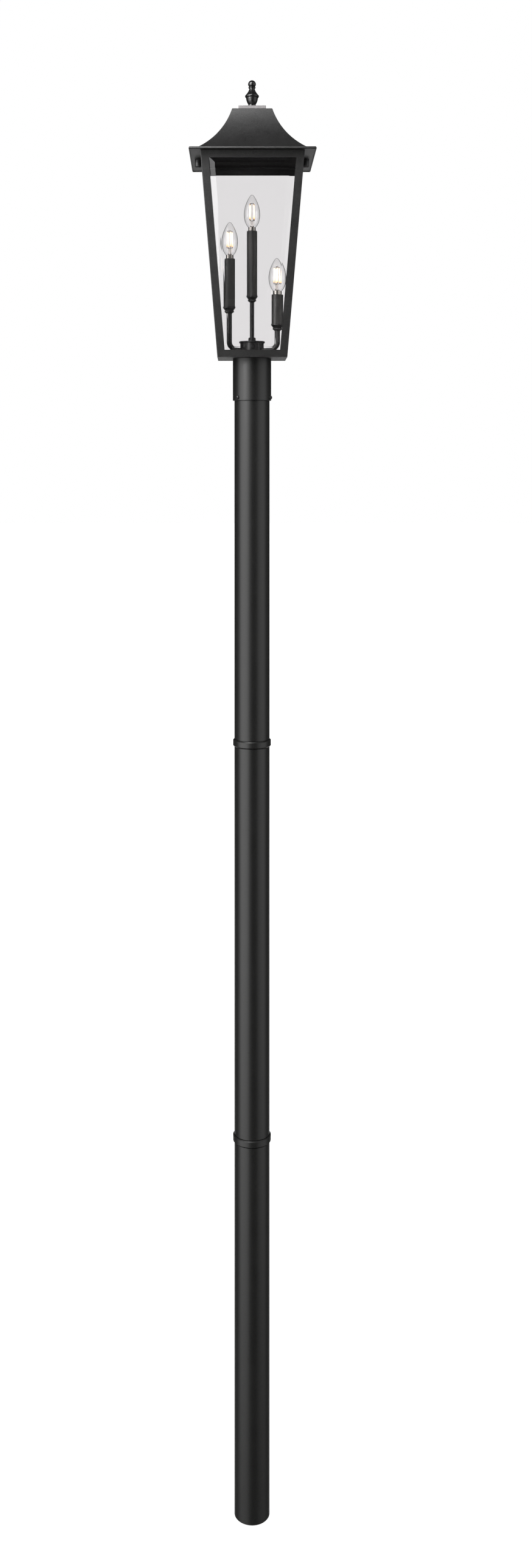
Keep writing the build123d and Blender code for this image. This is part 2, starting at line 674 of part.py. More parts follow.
def lamp_cap(side, x, y, seat):
    """The collar that shows, the screw shell as shallow rounds, and the tip."""
    collar_low = seat + CAP_COLLAR_LOW
    pitch = CAP_SCREW_LENGTH / CAP_THREADS
    crest_half = pitch * CAP_CREST_SHARE / 2
    shell = []
    for turn in range(CAP_THREADS):
        crest = collar_low - (turn + 0.5) * pitch
        shell += [(CAP_SCREW_R, crest + crest_half), (CAP_SCREW_R, crest - crest_half),
                  (CAP_SCREW_ROOT_R, crest - pitch / 2)]
    shell_foot = collar_low - CAP_SCREW_LENGTH
    outline = [(0, seat + CAP_COLLAR_HIGH), (CAP_COLLAR_R, seat + CAP_COLLAR_HIGH),
               (CAP_COLLAR_R, collar_low), (CAP_SCREW_ROOT_R, collar_low)] + shell
    outline += [(CAP_TIP_R, shell_foot - CAP_TIP_TALL), (0, shell_foot - CAP_TIP_TALL)]
    turned(f"lamp_cap_{side}", x, y, outline)


def moved_in(points, distance):
    """The inner side of a wall: each point moved square to the line between its neighbours."""
    inner = []
    for before, point, after in zip(points[:1] + points, points, points[1:] + points[-1:]):
        along = Vector(after[0] - before[0], after[1] - before[1]).normalized()
        inner.append((point[0] - distance * along.Y, point[1] + distance * along.X))
    return inner


def lamp_glass(side, x, y, neck):
    """A thin candle-shaped envelope, its wall between two like curves."""
    outside = [(r, neck + height) for r, height in GLASS_OUTLINE]
    tip = outside[-1][1] - GLASS_WALL
    inside = [(outside[0][0] - GLASS_WALL, neck)] + moved_in(outside, GLASS_WALL)[1:-1] + [(0, tip)]
    with BuildPart() as glass:
        with BuildSketch(upright(x, y)):
            with BuildLine():
                Spline(*outside)
                Line(outside[-1], inside[-1])
                Spline(*reversed(inside))
                Line(inside[0], outside[0])
            make_face()
        revolve(axis=Axis((x, y, 0), (0, 0, 1)))
    keep(glass, f"lamp_glass_{side}")


def lamp_filaments(side, x, y, neck):
    """A glass stem, four slightly splayed filament sticks, and the wires that join their heads."""
    centre = Vector(x, y, neck)
    with BuildPart() as sticks:
        with BuildSketch(upright(x, y)):
            with BuildLine():
                Polyline((0, neck), (LAMP_STEM_R, neck), (LAMP_STEM_TIP_R, neck + LAMP_STEM_TALL),
                         (0, neck + LAMP_STEM_TALL), close=True)
            make_face()
        revolve(axis=Axis((x, y, 0), (0, 0, 1)))
        for quarter in range(4):
            turn = radians(FILAMENT_TURN[side] + 90 * quarter)
            aside = Vector(cos(turn), sin(turn), 0)
            foot = centre + aside * FILAMENT_FOOT_SPREAD + Vector(0, 0, FILAMENT_LOW)
            head = centre + aside * FILAMENT_HEAD_SPREAD + Vector(0, 0, FILAMENT_HIGH)
            with BuildSketch(Plane(origin=foot, z_dir=head - foot)):
                Circle(FILAMENT_R)
            extrude(amount=(head - foot).length)
            root = centre + Vector(0, 0, LAMP_STEM_TALL - FILAMENT_WIRE_DEPTH)
            crown = centre + Vector(0, 0, FILAMENT_HIGH + FILAMENT_CROWN_RISE)
            for start, end in ((root, foot), (head, crown)):
                with BuildSketch(Plane(origin=start, z_dir=end - start)):
                    Circle(FILAMENT_WIRE_R)
                extrude(amount=(end - start).length)
    keep(sticks, f"lamp_filaments_{side}")


for side in COVER_FOOT:
    reach = ARM_REACH if side in ARM_ANGLES else 0.0
    angle = radians(ARM_ANGLES.get(side, 0.0))
    x = reach * cos(angle)
    y = reach * sin(angle)
    seat = COVER_FOOT[side] + COVER_LENGTH[side]
    candle_holder(side, x, y)
    lamp_cap(side, x, y, seat)
    lamp_glass(side, x, y, seat + CAP_COLLAR_HIGH)
    lamp_filaments(side, x, y, seat + CAP_COLLAR_HIGH)
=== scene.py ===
"""The looks of the post lantern: its finishes, its lit candle lamps, a plain studio and the camera.

Metres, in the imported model's frame: +Z up, the post's foot at the origin, the lantern's front facing -Y.
"""
import json
import math

import bpy
import numpy as np
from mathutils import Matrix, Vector


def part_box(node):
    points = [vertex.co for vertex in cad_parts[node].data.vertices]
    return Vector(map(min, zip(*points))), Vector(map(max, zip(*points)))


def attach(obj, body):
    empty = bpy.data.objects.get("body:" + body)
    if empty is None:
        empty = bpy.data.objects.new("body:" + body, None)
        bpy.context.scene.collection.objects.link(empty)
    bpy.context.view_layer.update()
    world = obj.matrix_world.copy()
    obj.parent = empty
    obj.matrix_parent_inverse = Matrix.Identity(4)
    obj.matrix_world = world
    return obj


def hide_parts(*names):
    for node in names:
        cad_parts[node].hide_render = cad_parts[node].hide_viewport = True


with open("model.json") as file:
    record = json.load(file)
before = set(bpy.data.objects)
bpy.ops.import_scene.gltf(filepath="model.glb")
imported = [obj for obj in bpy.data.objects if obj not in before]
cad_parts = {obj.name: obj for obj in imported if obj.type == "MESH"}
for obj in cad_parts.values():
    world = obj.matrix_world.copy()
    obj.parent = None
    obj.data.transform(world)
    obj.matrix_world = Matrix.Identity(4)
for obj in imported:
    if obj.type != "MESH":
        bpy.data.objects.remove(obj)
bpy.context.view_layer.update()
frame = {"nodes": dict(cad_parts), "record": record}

# ---- the photograph's frame, in its own pixels
PHOTO_WIDE = 874
PHOTO_TALL = 2576
PIXELS_A_METRE = 757.0
AXIS_COLUMN = 414.0
FOOT_ROW = 2485.3

# ---- camera: its sensor in millimetres, its place in metres
SENSOR = 36.0
CAMERA_X = -0.032
CAMERA_AWAY = 3.2
CAMERA_Z = 2.3188

# ---- light levels, where 1 is white: what lights the object from below and from above, what reflections
# see beside the soft boxes, and how the floor glows to the camera
DIFFUSE_LOW = 0.45
DIFFUSE_HIGH = 1.20
DARK_LEVEL = 0.05
FLOOR_GLOW = 0.82

# ---- the elevations, in degrees, between which the light on the object goes from low to high
DIFFUSE_FROM = -40.0
DIFFUSE_TO = 50.0

# ---- the floor's grey and half its width, in metres
FLOOR_GREY = 0.3
FLOOR_HALF = 40.0

SIDES = ("centre", "left", "right")

# ---- the cage's half widths and height, in metres, and the slope of the panes' bevels
CAGE_FOOT_HALF = 0.0743
CAGE_TOP_HALF = 0.1098
CAGE_TALL = 0.432
BEVEL_DEGREES = 6.0

# ---- how far the normals of the panes and of their bevels lean, as sines
CAGE_LEAN = math.sin(math.atan((CAGE_TOP_HALF - CAGE_FOOT_HALF) / CAGE_TALL))
BEVEL_LEAN = math.sin(math.radians(BEVEL_DEGREES))

# ---- how often marks come, in marks a metre
SWELLS = 21.0
WEAR = 160.0
PANE_WAVES = 9.0
BLOWN_SWIRLS = 40.0

# ---- how deep the waves in glass are, in metres
PANE_WAVE_DEPTH = 0.00003
BLOWN_SWIRL_DEPTH = 0.00002

# ---- refractive indices
PLATE_INDEX = 1.46
BLOWN_INDEX = 1.45

# ---- how much of the powder coat's look comes from its specks; the rest comes from its swells
SPECK_SHARE = 0.86

# ---- how far a metal's roughness swings up and down with its wear, as a share of itself
WEAR_SWING = 0.15

# ---- the stretch of a noise, or of a Facing value, over which an effect goes from nothing to all
SPECK_RANGE = (0.36, 0.66)
SWELL_RANGE = (0.35, 0.65)
WEAR_RANGE = (0.3, 0.7)
BLOWN_RIM_RANGE = (0.74, 0.96)
STICK_RIM_RANGE = (0.35, 0.95)


# ==== node trees
class Tree:
    """A node tree that is being built."""

    def __init__(self, tree):
        self.tree = tree

    def add(self, kind, inputs=(), **settings):
        """A new node with its settings made and its inputs linked or set."""
        node = self.tree.nodes.new(kind)
        for name, value in settings.items():
            setattr(node, name, value)
        for name, value in dict(inputs).items():
            self.feed(node.inputs[name], value)
        return node

    def feed(self, socket, value):
        """Links an output to the socket, or sets the socket to a plain value."""
        if isinstance(value, bpy.types.NodeSocket):
            self.tree.links.new(value, socket)
        else:
            socket.default_value = value

    def math(self, operation, *values):
        """The result of one Math node."""
        node = self.tree.nodes.new("ShaderNodeMath")
        node.operation = operation
        for socket, value in zip(node.inputs, values):
            self.feed(socket, value)
        return node.outputs[0]

    def ramp(self, value, low, high, start=0.0, end=1.0, smooth=False):
        """value between low and high, carried to start and end, and held there outside them."""
        kind = "SMOOTHSTEP" if smooth else "LINEAR"
        node = self.add("ShaderNodeMapRange", {
            "Value": value, "From Min": low, "From Max": high, "To Min": start, "To Max": end,
        }, interpolation_type=kind)
        return node.outputs["Result"]

    def bump(self, height, depth):
        """The normal over a height that stands for a depth in metres."""
        node = self.add("ShaderNodeBump", {"Height": height, "Distance": depth, "Strength": 1.0})
        return node.outputs["Normal"]

    def blend(self, share, first, second, kind="MIX"):
        """Two colours mixed by share. The Mix node's colours are its inputs 6 and 7 and its output 2."""
        node = self.add("ShaderNodeMix", data_type="RGBA", blend_type=kind)
        for index, value in ((0, share), (6, first), (7, second)):
            self.feed(node.inputs[index], value)
        return node.outputs[2]


def rgb(red, green, blue):
    """An opaque colour."""
    return (red, green, blue, 1.0)


def group(name, inputs, outputs):
    """A new shader node group with its sockets, and its Tree and the sockets inside its two ends."""
    made = bpy.data.node_groups.new(name, "ShaderNodeTree")
    for socket_name, kind, value in inputs:
        socket = made.interface.new_socket(name=socket_name, in_out="INPUT",
                                           socket_type=f"NodeSocket{kind}")
        socket.default_value = value
    for socket_name, kind in outputs:
        made.interface.new_socket(name=socket_name, in_out="OUTPUT", socket_type=f"NodeSocket{kind}")
    tree = Tree(made)
    return made, tree, tree.add("NodeGroupInput").outputs, tree.add("NodeGroupOutput").inputs


def make_grain():
    """Powder coat: fine grains on slow, wide swells, as a colour, a roughness and a height."""
    made, tree, given, out = group(
        "powder_grain",
        (("Grains a metre", "Float", 500.0), ("Deep", "Color", rgb(0.01, 0.01, 0.01)),
         ("Pale", "Color", rgb(0.03, 0.03, 0.03)), ("Roughness", "Float", 0.4),
         ("Spread", "Float", 0.1)),
        (("Color", "Color"), ("Roughness", "Float"), ("Height", "Float")))
    place = tree.add("ShaderNodeTexCoord").outputs["Object"]
    grains = tree.add("ShaderNodeTexNoise", {
        "Vector": place, "Scale": given["Grains a metre"], "Detail": 3.0, "Roughness": 0.62})
    swells = tree.add("ShaderNodeTexNoise", {"Vector": place, "Scale": SWELLS, "Detail": 2.0})
    specks = tree.ramp(grains.outputs["Fac"], *SPECK_RANGE, smooth=True)
    patches = tree.ramp(swells.outputs["Fac"], *SWELL_RANGE)
    mixed = tree.math("ADD", tree.math("MULTIPLY", specks, SPECK_SHARE),
                      tree.math("MULTIPLY", patches, 1 - SPECK_SHARE))
    tree.feed(out["Color"], tree.blend(mixed, given["Deep"], given["Pale"]))
    centred = tree.math("SUBTRACT", mixed, 0.5)
    tree.feed(out["Roughness"], tree.math("MULTIPLY_ADD", centred, given["Spread"], given["Roughness"]))
    tree.feed(out["Height"], grains.outputs["Fac"])
    return made


def make_turning():
    """Turned or drawn metal: fine rings round the upright axis, uneven in depth, as a height, and a shade
    that is half rings and half wear."""
    made, tree, given, out = group(
        "turning_marks", (("Rings a metre", "Float", 1500.0),),
        (("Height", "Float"), ("Shade", "Float")))
    place = tree.add("ShaderNodeTexCoord").outputs["Object"]
    upright = tree.add("ShaderNodeSeparateXYZ", {"Vector": place}).outputs["Z"]
    scaled = tree.math("MULTIPLY", upright, given["Rings a metre"])
    rings = tree.add("ShaderNodeTexNoise", {"W": scaled, "Scale": 1.0, "Detail": 2.0},
                     noise_dimensions="1D")
    wear = tree.add("ShaderNodeTexNoise", {"Vector": place, "Scale": WEAR, "Detail": 2.0})
    half_wear = tree.math("MULTIPLY", wear.outputs["Fac"], 0.5)
    tree.feed(out["Height"], rings.outputs["Fac"])
    tree.feed(out["Shade"], tree.math("MULTIPLY_ADD", rings.outputs["Fac"], 0.5, half_wear))
    return made


def make_waves():
    """Glass that isn't quite flat: slow, soft waves, as a height."""
    made, tree, given, out = group(
        "glass_waves", (("Waves a metre", "Float", 10.0),), (("Height", "Float"),))
    place = tree.add("ShaderNodeTexCoord").outputs["Object"]
    waves = tree.add("ShaderNodeTexNoise", {
        "Vector": place, "Scale": given["Waves a metre"], "Detail": 1.0})
    tree.feed(out["Height"], waves.outputs["Fac"])
    return made


GRAIN = make_grain()
TURNING = make_turning()
WAVES = make_waves()


# ==== materials
def new_material(name):
    """An empty material, its Tree and its output socket."""
    made = bpy.data.materials.new(name)
    made.use_nodes = True
    made.node_tree.nodes.clear()
    tree = Tree(made.node_tree)
    return made, tree, tree.add("ShaderNodeOutputMaterial").inputs["Surface"]


def coat(name, deep, pale, roughness, spread, grains, bump):
    """A black powder coat or moulded skin. bump is the grain's height in metres."""
    made, tree, surface = new_material(name)
    grain = tree.add("ShaderNodeGroup", node_tree=GRAIN)
    for socket, value in (("Grains a metre", grains), ("Deep", rgb(*deep)), ("Pale", rgb(*pale)),
                          ("Roughness", roughness), ("Spread", spread)):
        grain.inputs[socket].default_value = value
    shader = tree.add("ShaderNodeBsdfPrincipled", {
        "Base Color": grain.outputs["Color"], "Roughness": grain.outputs["Roughness"],
        "Normal": tree.bump(grain.outputs["Height"], bump)})
    tree.feed(surface, shader.outputs["BSDF"])
    return made


def metal(name, dark, bright, roughness, rings, bump, metallic=1.0):
    """A turned or drawn metal. bump is the depth of its rings in metres."""
    made, tree, surface = new_material(name)
    marks = tree.add("ShaderNodeGroup", node_tree=TURNING)
    marks.inputs["Rings a metre"].default_value = rings
    tint = tree.blend(marks.outputs["Shade"], rgb(*dark), rgb(*bright))
    rough = tree.ramp(marks.outputs["Shade"], *WEAR_RANGE, roughness * (1 - WEAR_SWING),
                      roughness * (1 + WEAR_SWING))
    shader = tree.add("ShaderNodeBsdfPrincipled", {
        "Base Color": tint, "Roughness": rough, "Metallic": metallic,
        "Normal": tree.bump(marks.outputs["Height"], bump)})
    tree.feed(surface, shader.outputs["BSDF"])
    return made


def clear_shader(tree, surface, tint, index, waves, depth):
    """Clear glass of a tint, with waves of a depth in metres. To shadow rays it is plain see-through, so
    that light gets in."""
    marks = tree.add("ShaderNodeGroup", node_tree=WAVES)
    marks.inputs["Waves a metre"].default_value = waves
    shader = tree.add("ShaderNodeBsdfPrincipled", {
        "Base Color": tint, "Roughness": 0.0, "IOR": index, "Transmission Weight": 1.0,
        "Normal": tree.bump(marks.outputs["Height"], depth)})
    clear = tree.add("ShaderNodeBsdfTransparent", {"Color": tint})
    path = tree.add("ShaderNodeLightPath")
    mixed = tree.add("ShaderNodeMixShader", {
        0: path.outputs["Is Shadow Ray"], 1: shader.outputs["BSDF"], 2: clear.outputs["BSDF"]})
    tree.feed(surface, mixed.outputs["Shader"])


def pane_glass(name, thick_tint, thin_tint):
    """Plate glass. The bevelled borders are thinner, so they are paler: they are told from the flat faces
    by their normals, which don't point along one side or lean as the cage does."""
    made, tree, surface = new_material(name)
    facing = tree.add("ShaderNodeSeparateXYZ", {
        "Vector": tree.add("ShaderNodeNewGeometry").outputs["True Normal"]})
    x, y, z = (tree.math("ABSOLUTE", value) for value in facing.outputs)
    sideways = tree.math("GREATER_THAN", tree.math("MINIMUM", x, y), BEVEL_LEAN / 2)
    off_lean = tree.math("ABSOLUTE", tree.math("SUBTRACT", z, CAGE_LEAN))
    upwards = tree.math("GREATER_THAN", off_lean, BEVEL_LEAN / 2)
    tint = tree.blend(tree.math("MAXIMUM", sideways, upwards), rgb(*thick_tint), rgb(*thin_tint))
    clear_shader(tree, surface, tint, PLATE_INDEX, PANE_WAVES, PANE_WAVE_DEPTH)
    return made


def blown_glass(name, tint, rim_tint):
    """Thin clear glass whose rim looks darker, because the eye passes along the wall there."""
    made, tree, surface = new_material(name)
    edge = tree.add("ShaderNodeLayerWeight", {"Blend": 0.5}).outputs["Facing"]
    rim = tree.ramp(edge, *BLOWN_RIM_RANGE, smooth=True)
    tint = tree.blend(rim, rgb(*tint), rgb(*rim_tint))
    clear_shader(tree, surface, tint, BLOWN_INDEX, BLOWN_SWIRLS, BLOWN_SWIRL_DEPTH)
    return made


# the colours along a filament stick: share of its length from its foot, colour
STICK_METAL = (0.02, 0.015, 0.01)
STICK_COLOURS = (
    (0.0, STICK_METAL),
    (0.05, STICK_METAL),
    (0.08, (0.9, 0.55, 0.28)),
    (0.20, (1.0, 0.84, 0.60)),
    (0.45, (1.0, 0.95, 0.84)),
    (0.88, (1.0, 0.90, 0.74)),
    (0.94, (0.9, 0.6, 0.34)),
    (0.97, STICK_METAL),
)
STICK_RIM_TINT = (0.94, 0.66, 0.46)
STICK_GLOW = 1.25


def glow(name):
    """A filament stick: dark metal ends, amber feet and white-hot between, by its own 'along' attribute,
    and warmer towards its rim."""
    made, tree, surface = new_material(name)
    along = tree.add("ShaderNodeAttribute", attribute_name="along").outputs["Fac"]
    ramp = tree.add("ShaderNodeValToRGB", {"Fac": along})
    stops = ramp.color_ramp.elements
    while len(stops) < len(STICK_COLOURS):
        stops.new(1.0)
    for stop, (place, colour) in zip(stops, STICK_COLOURS):
        stop.position = place
        stop.color = rgb(*colour)
    edge = tree.add("ShaderNodeLayerWeight", {"Blend": 0.5}).outputs["Facing"]
    rim = tree.ramp(edge, *STICK_RIM_RANGE)
    warm = tree.blend(rim, ramp.outputs["Color"], rgb(*STICK_RIM_TINT), "MULTIPLY")
    shader = tree.add("ShaderNodeBsdfPrincipled", {
        "Base Color": warm, "Roughness": 0.5, "Emission Color": warm, "Emission Strength": STICK_GLOW})
    tree.feed(surface, shader.outputs["BSDF"])
    return made


MATERIALS = {
    "black_coat": coat(
        "satin black coat", (0.007, 0.007, 0.0067), (0.018, 0.018, 0.0172),
        roughness=0.38, spread=0.10, grains=900.0, bump=0.00003),
    "textured_coat": coat(
        "sand black coat", (0.004, 0.0039, 0.0039), (0.028, 0.0271, 0.0271),
        roughness=0.44, spread=0.18, grains=800.0, bump=0.00015),
    "gloss_black": coat(
        "gloss black", (0.006, 0.006, 0.006), (0.011, 0.011, 0.011),
        roughness=0.29, spread=0.06, grains=600.0, bump=0.00001),
    "black_steel": coat(
        "black steel", (0.020, 0.020, 0.020), (0.034, 0.034, 0.034),
        roughness=0.44, spread=0.08, grains=1200.0, bump=0.00002),
    "black_cover": coat(
        "candle cover", (0.012, 0.012, 0.011), (0.026, 0.026, 0.024),
        roughness=0.42, spread=0.10, grains=1100.0, bump=0.00003),
    "socket_black": coat(
        "socket", (0.008, 0.008, 0.008), (0.016, 0.016, 0.016),
        roughness=0.35, spread=0.06, grains=700.0, bump=0.00001),
    "bright_metal": metal(
        "satin aluminium", (0.26, 0.247, 0.250), (0.44, 0.419, 0.424),
        roughness=0.50, rings=900.0, bump=0.00001, metallic=0.3),
    "zinc_steel": metal(
        "zinc", (0.45, 0.45, 0.44), (0.65, 0.65, 0.64),
        roughness=0.38, rings=2000.0, bump=0.00001),
    "bright_cap": metal(
        "nickel", (0.31, 0.295, 0.273), (0.51, 0.485, 0.453),
        roughness=0.22, rings=1800.0, bump=0.00001),
    "clear_glass": pane_glass("pane glass", (0.918, 0.909, 0.913), (0.945, 0.938, 0.941)),
    "lamp_glass": blown_glass("lamp glass", (0.988, 0.986, 0.987), (0.84, 0.83, 0.825)),
    "filament": glow("lit filament"),
    "stem_glass": blown_glass("stem glass", (0.93, 0.88, 0.85), (0.62, 0.52, 0.46)),
    "lead_wire": metal(
        "lead wire", (0.10, 0.08, 0.07), (0.24, 0.20, 0.17),
        roughness=0.35, rings=3000.0, bump=0.00001),
}

slot_of = {part["node"]: part["material_slot"] for part in frame["record"]["subparts"]}
for node, thing in frame["nodes"].items():
    thing.data.materials.clear()
    thing.data.materials.append(MATERIALS[slot_of[node]])


# ==== new pieces, as surfaces of numbers
def smooth_line(points, steps):
    """A smooth line through the points. From a point b to the next, c, with a before them and d after, it
    is b + t/2 (c - a + t (2a - 5b + 4c - d + t (3b - a - 3c + d))) for t from 0 to 1: a cubic whose slope
    at a point is half the way between its neighbours. The ends repeat their last point."""
    p = np.asarray(points, float)
    padded = np.vstack((p[:1], p, p[-1:]))
    t = np.linspace(0, 1, steps, endpoint=False)[:, None]
    a, b, c, d = (padded[i:len(p) - 1 + i, None, :] for i in range(4))
    spans = b + 0.5 * t * (c - a + t * (2 * a - 5 * b + 4 * c - d + t * (3 * b - a - 3 * c + d)))
    return np.vstack((spans.reshape(-1, p.shape[1]), p[-1:]))


def grid_faces(rows, columns):
    """The four-sided faces of a grid whose columns close on themselves."""
    row, column = np.meshgrid(np.arange(rows - 1), np.arange(columns), indexing="ij")
    after = (column + 1) % columns
    corners = (row * columns + column, row * columns + after, (row + 1) * columns + after,
               (row + 1) * columns + column)
    return np.stack(corners, axis=-1).reshape(-1, 4)


def mesh_piece(name, points, faces, material, body, nodes):
    """A smooth mesh of the points and faces, which rides on a body and stands for CAD nodes."""
    mesh = bpy.data.meshes.new(name)
    mesh.from_pydata(points.tolist(), [], [tuple(face) for face in faces])
    mesh.validate()
    mesh.shade_smooth()
    mesh.materials.append(material)
    piece = bpy.data.objects.new(name, mesh)
    bpy.context.scene.collection.objects.link(piece)
    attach(piece, body)
    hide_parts(*nodes)
    return piece


def turned_shell(outline, centre, columns):
    """A body of revolution that starts and ends on its axis: the point at outline row i and column j is
    (x + r_i cos a_j, y + r_i sin a_j, z_i), and each end is one point."""
    angle = np.linspace(0, 2 * np.pi, columns, endpoint=False)
    ring = outline[1:-1]
    x = centre[0] + ring[:, :1] * np.cos(angle)
    y = centre[1] + ring[:, :1] * np.sin(angle)
    z = np.broadcast_to(ring[:, 1:], x.shape)
    points = np.stack((x, y, z), axis=-1).reshape(-1, 3)
    ends = np.array(((centre[0], centre[1], outline[0, 1]), (centre[0], centre[1], outline[-1, 1])))
    count = len(points)
    here = np.arange(columns)
    after = (here + 1) % columns
    last = count - columns
    first_fan = np.stack((np.full(columns, count), after, here), axis=-1)
    last_fan = np.stack((np.full(columns, count + 1), last + here, last + after), axis=-1)
    faces = grid_faces(len(ring), columns).tolist() + first_fan.tolist() + last_fan.tolist()
    return np.vstack((points, ends)), faces


# a direction along which no rod runs
ROD_ASIDE = (0.3, 1.0, 0.1)


def rod(start, end, profile, columns):
    """A round rod, closed at both ends. Its profile's rows are (share of the length, radius). The profile
    is turned round an upright axis, and a point (x, y, z) of that goes to
    start + x aside + y across + z (end - start), where aside and across are one metre long and square to
    the rod. Also gives each point's share of the length."""
    start, end = np.asarray(start, float), np.asarray(end, float)
    along = end - start
    aside = np.cross(along, ROD_ASIDE)
    aside /= np.linalg.norm(aside)
    across = np.cross(along, aside)
    across /= np.linalg.norm(across)
    share, radius = np.asarray(profile, float).T
    points, faces = turned_shell(np.stack((radius, share), axis=-1), (0.0, 0.0), columns)
    placed = start + points[:, :1] * aside + points[:, 1:2] * across + points[:, 2:] * along
    return placed, faces, points[:, 2]


def joined(parts):
    """Several (points, faces) as one, each part's faces counted on from the points before it."""
    points, faces, start = [], [], 0
    for part_points, part_faces in parts:
        points.append(part_points)
        faces += [[index + start for index in face] for face in part_faces]
        start += len(part_points)
    return np.vstack(points), faces


# ---- lamp glass: its outline as shares of its largest radius and of its height, and its wall in metres
LAMP_OUTLINE = (
    (0.451, 0.0), (0.537, 0.021), (0.680, 0.071), (0.834, 0.150), (0.954, 0.257), (1.0, 0.388),
    (0.960, 0.530), (0.834, 0.664), (0.657, 0.777), (0.446, 0.884), (0.257, 0.958), (0.126, 0.990),
    (0.0, 1.0))
LAMP_WALL = 0.0003
LAMP_STEPS = 8
LAMP_COLUMNS = 96


def lamp_envelope(side):
    """The thin blown glass: its outside is a smooth line turned round the lamp's axis, and its inside is
    the same line moved in by the wall, square to its slope."""
    low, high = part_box(f"lamp_glass_{side}")
    centre = ((low.x + high.x) / 2, (low.y + high.y) / 2)
    radius, tall = (high.x - low.x) / 2, high.z - low.z
    line = smooth_line(LAMP_OUTLINE, LAMP_STEPS) * (radius, tall)
    slope = np.gradient(line, axis=0)
    slope /= np.linalg.norm(slope, axis=1, keepdims=True)
    inner = line + LAMP_WALL * np.stack((-slope[:, 1], slope[:, 0]), axis=-1)
    inner[0] = line[0] - (LAMP_WALL, 0)
    inner[-1] = line[-1] - (0, LAMP_WALL)
    inner[:, 0] = np.maximum(inner[:, 0], 0)
    outline = np.vstack((inner[::-1], line)) + (0, low.z)
    points, faces = turned_shell(outline, centre, LAMP_COLUMNS)
    mesh_piece(f"lamp_envelope_{side}", points, faces, MATERIALS["lamp_glass"], f"lamp_{side}",
               [f"lamp_glass_{side}"])


for side in SIDES:
    lamp_envelope(side)

# ---- filament sticks: their radius, heights above the foot of the lamp's glass, and spreads from its axis
STICK_R = 0.0014
STICK_LOW = 0.0155
STICK_HIGH = 0.0510
STICK_FOOT_SPREAD = 0.0062
STICK_HEAD_SPREAD = 0.0056

# ---- how far each lamp's sticks are turned about its axis, in degrees
STICK_TURN = {"centre": 38.0, "left": 20.0, "right": 12.0}

# ---- a stick's profile as shares of its length and of its radius: thin metal ends, thick between
STICK_PROFILE = (
    (0.0, 0.0), (0.0, 0.5), (0.06, 0.5), (0.07, 1.0), (0.5, 1.0), (0.93, 1.0), (0.94, 0.5), (1.0, 0.5),
    (1.0, 0.0))

# ---- lead wires: their radius, how far above the sticks they meet, how deep in the stem they start
WIRE_R = 0.00045
CROWN_RISE = 0.0015
ROOT_DEPTH = 0.001

# ---- the glass stem's outline: radius and height above the foot of the lamp's glass
STEM_LINE = (
    (0.0, 0.0), (0.0046, 0.0), (0.0044, 0.0014), (0.0032, 0.0042), (0.0026, 0.0080), (0.0025, 0.0105),
    (0.0030, 0.0124), (0.0026, 0.0140), (0.0, 0.0145))
STEM_STEPS = 5

# ---- how many columns of faces go round a stick, a wire and a stem
STICK_COLUMNS = 16
WIRE_COLUMNS = 8
STEM_COLUMNS = 32


def ring_point(centre, angle, radius, height):
    """The point at an angle on a level ring about the centre, a height above it."""
    return np.array((centre[0] + radius * math.cos(angle), centre[1] + radius * math.sin(angle),
                     centre[2] + height))


def filaments(side):
    """Four straight sticks that lean in a little, the wires to their feet and heads, and the glass stem
    that holds the wires."""
    low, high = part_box(f"lamp_glass_{side}")
    centre = np.array(((low.x + high.x) / 2, (low.y + high.y) / 2, low.z))
    body, node = f"lamp_{side}", [f"lamp_filaments_{side}"]
    sticks, shares, wires = [], [], []
    crown = centre + (0, 0, STICK_HIGH + CROWN_RISE)
    root = centre + (0, 0, STEM_LINE[-1][1] - ROOT_DEPTH)
    stick_line = [(share, STICK_R * wide) for share, wide in STICK_PROFILE]
    wire_line = [(0.0, 0.0), (0.0, WIRE_R), (1.0, WIRE_R), (1.0, 0.0)]
    for quarter in range(4):
        angle = math.radians(STICK_TURN[side] + 90 * quarter)
        foot = ring_point(centre, angle, STICK_FOOT_SPREAD, STICK_LOW)
        head = ring_point(centre, angle, STICK_HEAD_SPREAD, STICK_HIGH)
        points, faces, share = rod(foot, head, stick_line, STICK_COLUMNS)
        sticks.append((points, faces))
        shares.append(share)
        for start, end in ((root, foot), (head, crown)):
            wires.append(rod(start, end, wire_line, WIRE_COLUMNS)[:2])
    points, faces = joined(sticks)
    piece = mesh_piece(f"filament_sticks_{side}", points, faces, MATERIALS["filament"], body,
                       node)
    along = piece.data.attributes.new("along", "FLOAT", "POINT")
    along.data.foreach_set("value", np.concatenate(shares).astype(np.float32))
    points, faces = joined(wires)
    mesh_piece(f"filament_wires_{side}", points, faces, MATERIALS["lead_wire"], body, node)
    outline = smooth_line(STEM_LINE, STEM_STEPS) + (0, low.z)
    points, faces = turned_shell(outline, centre, STEM_COLUMNS)
    mesh_piece(f"lamp_stem_{side}", points, faces, MATERIALS["stem_glass"], body, node)


for side in SIDES:
    filaments(side)


# ==== studio
def soft_band(tree, value, middle, half, edge):
    """1 within half of the middle, falling smoothly to 0 over the edge beyond it."""
    away = tree.math("ABSOLUTE", tree.math("SUBTRACT", value, middle))
    return tree.ramp(away, half, half + edge, 1.0, 0.0, smooth=True)


# soft boxes and the backdrop that reflections see, in degrees: azimuth from the camera's side towards +X,
# its half width and edge; elevation, its half height and edge; and last the brightness, where 1 is white
PANELS = (
    (-53, 23, 18, 12, 32, 16, 3.0),
    (66, 18, 20, 12, 32, 16, 1.1),
)
BACKDROP = (180, 24, 12, -35, 18, 5, 0.9)

